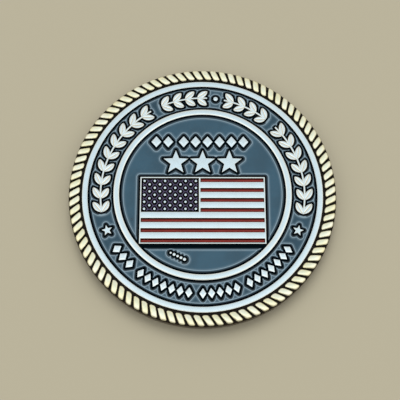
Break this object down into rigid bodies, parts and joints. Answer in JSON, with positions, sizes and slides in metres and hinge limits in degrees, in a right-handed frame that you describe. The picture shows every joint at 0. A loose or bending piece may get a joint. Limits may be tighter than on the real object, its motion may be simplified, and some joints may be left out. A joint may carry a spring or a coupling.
{
  "type": "challenge coin",
  "caption": "Round struck coin with a rope border, raised rings and artwork, and soft enamel poured into the recesses on both faces.",
  "frame": {"origin": "centre of the coin, on the plane its reverse rests on", "axes": "+Z out of the obverse face, +Y towards the top of the artwork, +X to the artwork's right"},
  "size_m": [0.0444, 0.0444, 0.003],
  "materials": {
    "silver_plating": "satin",
    "gold_plating": "satin",
    "slate_enamel": "gloss",
    "navy_enamel": "gloss",
    "red_enamel": "gloss"
  },
  "bodies": {
    "root": {"coin_core": "silver_plating", "rope_rim": "gold_plating", "obverse_band_enamel": "slate_enamel", "field_upper_enamel": "slate_enamel", "field_lower_enamel": "slate_enamel", "canton_enamel": "navy_enamel", "red_stripe_1_enamel": "red_enamel", "red_stripe_2_enamel": "red_enamel", "red_stripe_3_enamel": "red_enamel", "red_stripe_4_enamel": "red_enamel", "red_stripe_5_enamel": "red_enamel", "red_stripe_6_enamel": "red_enamel", "red_stripe_7_enamel": "red_enamel", "reverse_band_enamel": "slate_enamel", "reverse_field_enamel": "slate_enamel", "rose_navy_1_enamel": "navy_enamel", "rose_navy_2_enamel": "navy_enamel", "rose_navy_3_enamel": "navy_enamel", "rose_navy_4_enamel": "navy_enamel", "rose_red_1_enamel": "red_enamel", "rose_red_2_enamel": "red_enamel", "rose_red_3_enamel": "red_enamel", "rose_red_4_enamel": "red_enamel"}
  },
  "joints": []
}
